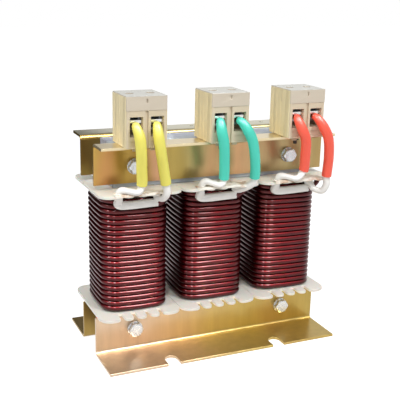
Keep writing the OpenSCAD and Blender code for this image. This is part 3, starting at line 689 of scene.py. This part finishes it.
leave_r = abs(band_y) - corner_y
for number, phase in enumerate(phases):
    way = coil_way(number + 11)
    lead_off = smooth_way([
        way[-1], (corner_x + 0.7 + leave_r * 0.72, -corner_y - leave_r * 0.72, coil_top - 0.6),
        (corner_x + 3.5, band_y, band_z + 0.6), (band_x - 1, band_y, band_z),
    ], 6)
    way = np.concatenate([[way[0] + [0, 5, 0]], way, lead_off[1:]])
    wire = shell(swept(way, wire_r, wire_r, np.array([0.0, 0.0, 1.0])))
    make_piece(
        "outer_winding_" + phase + "_shown", placed(wire, [((number - 1) * leg_pitch, 0, 0)]),
        enamel_finish, nodes=["outer_winding_" + phase], sharp=60,
    )


# The terminal blocks: moulded polyamide housings with a cap, screwed to the shelf, each with two
# busbars, two threaded cages and two captive slotted screws.
block_y, shelf_z, cap_top = -28.3, 165.4, 201.7
housing_edge, cap_edge = 0.25, 0.45

# Polyamide, moulded: an even half matt beige.
beige_finish = new_finish("beige_polyamide", "#D4C5AA", 0.5)[0]
# The same in the caps, greyer. Their tops, smooth from the mould, are painted greyest: a painted
# reflection of the light that they catch.
cap_finish, tree, shader = new_finish("beige_polyamide_cap_painted_top_sheen", "#CDC1AE", 0.45)
coords = add(tree, "ShaderNodeTexCoord")
axes = add(tree, "ShaderNodeSeparateXYZ", {"Vector": coords.outputs["Object"]})
painted_sheen_on_top = add(tree, "ShaderNodeMapRange", {
    "Value": axes.outputs[2], "From Min": (cap_top - 0.35) * mm, "From Max": cap_top * mm,
})
# Painted reflection: the top 0.35 mm of the cap is painted grey.
tone = add(tree, "ShaderNodeMix", {
    0: painted_sheen_on_top.outputs[0], 6: linear("#CDC1AE"), 7: linear("#C5C4BD"),
}, data_type="RGBA")
tree.links.new(tone.outputs[2], shader.inputs["Base Color"])
# Brass strip, stamped and tinned: a warm white metal.
brass_finish = new_finish("tinned_brass", "#D8D8D4", 0.25, metallic=1.0)[0]
# Bent steel strip and turned screws, zinc plated: a plain grey metal.
cage_finish = new_finish("zinc_plated_clamp_steel", "#A9AFB6", 0.3, metallic=1.0)[0]
# Small fixing screws and nuts, blued by heat: dark, with a brown shine.
blued_finish = new_finish("blued_steel", "#45403C", 0.45, metallic=1.0)[0]
for phase in phases:
    softened("terminal_housing_" + phase, housing_edge, beige_finish)
    softened("terminal_cap_" + phase, cap_edge, cap_finish)
    for pole in ("in", "out"):
        for kind in ("clamp_screw", "clamp_cage"):
            refinish(f"{kind}_{phase}_{pole}", cage_finish)
for node, finish in (
    ("busbars", brass_finish), ("block_screws", blued_finish), ("block_nuts", blued_finish),
):
    refinish(node, finish)


# The ribbed plates that close the sides of the blocks: thin mouldings, pressed on. They sit proud
# of the housings, with shallow grooves between their ribs.
def strip_plate(outline, bottom, top):
    """A closed outline in x and y, carried straight up from one height to another."""
    outline = np.asarray(outline, float)
    return shell([np.column_stack([outline, np.full(len(outline), z)]) for z in (bottom, top)])


# The polyamide of the blocks, painted paler and yellower on the side plates than on the housings:
# painted light that lifts the shaded sides of the blocks. Half matt.
side_plate_painted_light = new_finish("beige_polyamide_painted_light_sides", "#E0D2AA", 0.5)[0]
# Their outlines: distance along Y from the block's middle, and how far the plate stands out there.
plate_ribs = [
    (-14.3, 0.0), (-13.9, 0.42), (-8.6, 0.42), (-8.4, 0.3), (-8.1, 0.3), (-7.9, 0.42), (-2.6, 0.42),
    (-2.2, 0.05), (-1.7, 0.05), (-1.3, 0.42), (3.2, 0.42), (3.5, 0.2), (3.9, 0.2), (4.2, 0.42),
    (8.8, 0.42), (9.1, 0.25), (9.4, 0.25), (9.7, 0.42), (14.4, 0.42), (14.8, 0.0),
]
plate_x, plate_back, plate_bottom, plate_top = 14.95, 14.5, shelf_z + 0.4, shelf_z + 35.6
for number, phase in enumerate(phases):
    for side, word in ((-1, "left"), (1, "right")):
        outline = [(side * (plate_x + rib), y) for y, rib in plate_ribs]
        outline += [(side * plate_back, plate_ribs[-1][0]), (side * plate_back, plate_ribs[0][0])]
        plate = strip_plate(outline, plate_bottom, plate_top)
        make_piece(
            f"block_plate_{phase}_{word}", placed(plate, [((number - 1) * leg_pitch, block_y, 0)]),
            side_plate_painted_light,
        )


# The leads: bare wire ends in the clamps, a coloured sleeve of soft plastic tube from the clamp to
# the flange, and out of it a white sleeve of braided glass fibre, which crosses the flange and
# lies as a flat band on the front of the coil.

# Copper, scraped bare of its enamel: a warm metal.
copper_finish = new_finish("bare_copper", "#C07A55", 0.3, metallic=1.0)[0]
refinish("wire_ends", copper_finish)

# Soft plastic tube, extruded and dyed through: a bright even colour, half matt.
sleeve_colours = {
    "left": ("yellow", "#F2E868"), "middle": ("teal", "#48D8C0"), "right": ("red", "#FF6048"),
}
sleeve_finishes = {
    phase: new_finish(name + "_plastic_sleeve", colour, 0.42)[0]
    for phase, (name, colour) in sleeve_colours.items()
}
# Glass-fibre braid, varnished: a warm white with a fine weave. Real strands are some 0.6 mm wide,
# and are drawn 1.2 mm long and eight to the way round so that they show.
glass_finish, tree, shader = new_finish("white_glass_fibre_braid", "#F6F4F0", 0.6)
strand_length, strands_round = 1.2, 8
around = add(tree, "ShaderNodeUVMap", uv_map="along")
sized = add(tree, "ShaderNodeMapping", {
    "Vector": around.outputs[0], "Scale": (1 / strand_length, strands_round, 1),
})
weave = add(tree, "ShaderNodeTexChecker", {"Vector": sized.outputs[0], "Scale": 1.0})
raised = add(tree, "ShaderNodeBump", {
    "Height": weave.outputs[1], "Strength": 0.2, "Distance": 0.1 * mm,
})
tree.links.new(raised.outputs[0], shader.inputs["Normal"])

# Each route starts in the clamp. The ingoing one ends in the band on the coil, and the outgoing one
# just under the flange, where the inner layer's wire comes out. Its points are measured from the
# core's front face, in the middle of its coil, at the height of the flange's top.
front_y, flange_top = -15.5, 130.7
lead_x, lead_y, lead_z = 7.7, -26.3, 50.45
band = band_z - flange_top
out_of_coil = (12.8, -27.35 - front_y, -4.5)
into_coil = [
    (-16.9, -17.4, 1.4), (-16.6, -15.7, -4.2), (-14.2, -13.3, band), (band_x, band_y - front_y, band),
]
routes = {
    ("left", "in"): [
        (-lead_x, lead_y, lead_z), (-8.5, -30.5, 49.8), (-7, -32.9, 43.3), (-5.6, -32.1, 33.3),
        (-3.8, -28, 19.3), (-2.6, -25.1, 7.8), (-5, -25.3, 3.0), (-10, -22.3, 2.9),
        (-14.4, -19.6, 3.3), *into_coil,
    ],
    ("left", "out"): [
        (lead_x, lead_y, lead_z), (6.6, -30.5, 49.8), (6.8, -32.9, 43.3), (8.8, -31.9, 33.3),
        (12.5, -28, 19.3), (15.4, -25.7, 7.3), (16.2, -25.5, 0.3), (15.2, -21.5, -4.6),
        (13.2, -16.5, -5.1), out_of_coil,
    ],
    ("middle", "in"): [
        (-lead_x, lead_y, lead_z), (-9, -30.5, 50.3), (-9, -32.9, 44.3), (-6.4, -31.9, 34.3),
        (-3.8, -28, 19.3), (-2.6, -25.3, 7.3), (-5, -25.3, 3.0), (-10, -21.7, 3.6),
        (-14.4, -19, 4.6), *into_coil,
    ],
    ("middle", "out"): [
        (lead_x, lead_y, lead_z), (8.4, -30.5, 49.3), (12, -32.9, 43.8), (17, -32.1, 34.3),
        (21, -29, 19.3), (22.8, -26.1, 6.3), (21.6, -25, 1.6), (17.6, -21.5, -2.4),
        (14, -16.5, -4.8), out_of_coil,
    ],
    ("right", "in"): [
        (-lead_x, lead_y, lead_z), (-9, -30.5, 48.8), (-6.4, -32.9, 42.3), (-2, -31.9, 33.3),
        (0.6, -28, 19.3), (1.6, -25.1, 8.3), (-4.4, -25.5, 2.7), (-10, -22, 3.4),
        (-14.4, -19.4, 3.8), *into_coil,
    ],
    ("right", "out"): [
        (lead_x, lead_y, lead_z), (8.6, -30.5, 48.8), (12.4, -32.9, 42.8), (18, -31.9, 33.3),
        (21.4, -28.9, 18.3), (22.2, -26.3, 2.7), (22.8, -25.9, -4.7), (20.6, -23.1, -10.1),
        (15.6, -18.5, -8.7), (14.2, -15.9, -4.7), out_of_coil,
    ],
}
# Each stretch of a route has eight steps, and the coloured sleeve takes the first five stretches.
steps = 8
sleeve_end = 5 * steps
sleeve_tip_r, sleeve_r, sleeve_bore, glass_r = 2.7, 3.85, 3.15, 2.4
sideways, forward = np.array([1.0, 0.0, 0.0]), np.array([0.0, 1.0, 0.0])
for (phase, pole), route in routes.items():
    offset = np.array([(phases.index(phase) - 1) * leg_pitch, front_y, flange_top])
    way = smooth_way(route, steps) + offset
    # The coloured sleeve widens out of the clamp. At its end it turns back into its own bore, over
    # one stretch.
    sleeve_way = way[:sleeve_end + 1]
    outer = np.interp(
        np.arange(sleeve_end + 1), [0, steps * 0.7, 2 * steps, sleeve_end],
        [sleeve_tip_r, 3.0, 3.9, sleeve_r],
    )
    rings = swept(sleeve_way, outer, outer, sideways, sides=20)
    lip = swept(sleeve_way, sleeve_bore, sleeve_bore, sideways, sides=20)[::-1][:steps]
    name = sleeve_colours[phase][0]
    make_piece(
        f"{name}_sleeve_{pole}_shown", [shell(np.concatenate([rings, lip]))], sleeve_finishes[phase],
        nodes=[f"{name}_sleeve_{pole}"],
    )
    # The white sleeve starts inside it. It is widest where it goes down past the flange, narrower
    # and deeper where it lies on it, and flat and square in the band.
    tail = way[sleeve_end - steps + 1:]
    spot = np.arange(len(tail))
    if pole == "in":
        flat = np.clip((spot - (len(tail) - 1 - 2.6 * steps)) / steps, 0, 1)
        past_flange = np.clip((tail[:, 2] - flange_top + 3.5) / 4.5, 0, 1)
        lying = np.interp(spot, np.array([0.6, 1.6, 3.2, 4.2]) * steps, [0, 1, 1, 0])
    else:
        flat = lying = np.zeros(len(tail))
        past_flange = np.clip((front_y - 21 - tail[:, 1]) / 4, 0, 1)
    wide = glass_r + 0.35 * past_flange + 0.5 * flat - 0.5 * lying
    deep = glass_r + 0.35 * past_flange - 0.45 * flat + 0.5 * lying
    up = forward if pole == "in" else sideways
    braid = swept(tail, wide, deep, up, sides=20, square=2.0 + 3.0 * flat)
    make_piece(
        f"glass_sleeve_{phase}_{pole}_shown", [shell(braid)], glass_finish,
        nodes=[f"glass_sleeve_{phase}_{pole}"],
    )


# Under the leads of each coil lies a strip of insulating paper, cut by hand and folded over the
# teeth of the flange. It keeps the sleeves off the edge of the flange.

# Insulating paper, calendered and varnished: stiff, off-white and slightly wavy, browned in stains
# some 6 mm across.
paper_finish, tree, shader = new_finish("insulating_paper", "#E6DFD0", 0.65)
stains = surface_marks(tree, 6, 3.0)
brown = add(tree, "ShaderNodeMapRange", {"Value": stains.outputs[0], "From Min": 0.52, "From Max": 0.7})
tone = add(tree, "ShaderNodeMix", {
    0: brown.outputs[0], 6: linear("#E9E4D8"), 7: linear("#C9A98C"),
}, data_type="RGBA")
tree.links.new(tone.outputs[2], shader.inputs["Base Color"])


def wavy_strip(seed, left, right, front, rear, thick=0.3):
    """A sheet over x and y whose height is a sum of three sines with chance phases. Near its front
    edge it falls off by a square, and the edge itself wanders by a sine. Each ring runs along the
    top and back along the underside, one thickness lower."""
    phase = np.random.default_rng(seed).uniform(0, 2 * math.pi, 3)
    x, y = np.meshgrid(np.linspace(left, right, 72), np.linspace(front, rear, 9), indexing="ij")
    wave = (
        0.28 * np.sin(x / 2.9 + phase[0]) + 0.2 * np.sin(x / 1.4 + y / 1.7 + phase[1])
        + 0.15 * np.sin(y / 1.3 + phase[2])
    )
    fall = -1.6 * np.clip((front + 1.6 - y) / 1.6, 0, 1) ** 2
    ragged = 0.6 * np.sin(x / 2.4 + phase[2]) * np.clip((front + 3 - y) / 3, 0, 1)
    top = np.stack([x, y - ragged, flange_top + thick + 0.65 + wave + fall], axis=-1)
    under = top[:, ::-1] - [0, 0, thick]
    return shell(np.concatenate([top, under], axis=1))


paper_left, paper_right, paper_front, paper_rear = -21.5, 20.5, -39.6, -30.5
for number, phase in enumerate(phases):
    strip = wavy_strip(40 + number, paper_left, paper_right, paper_front, paper_rear)
    make_piece(
        "lead_paper_" + phase, placed(strip, [((number - 1) * leg_pitch, 0, 0)]),
        paper_finish,
    )
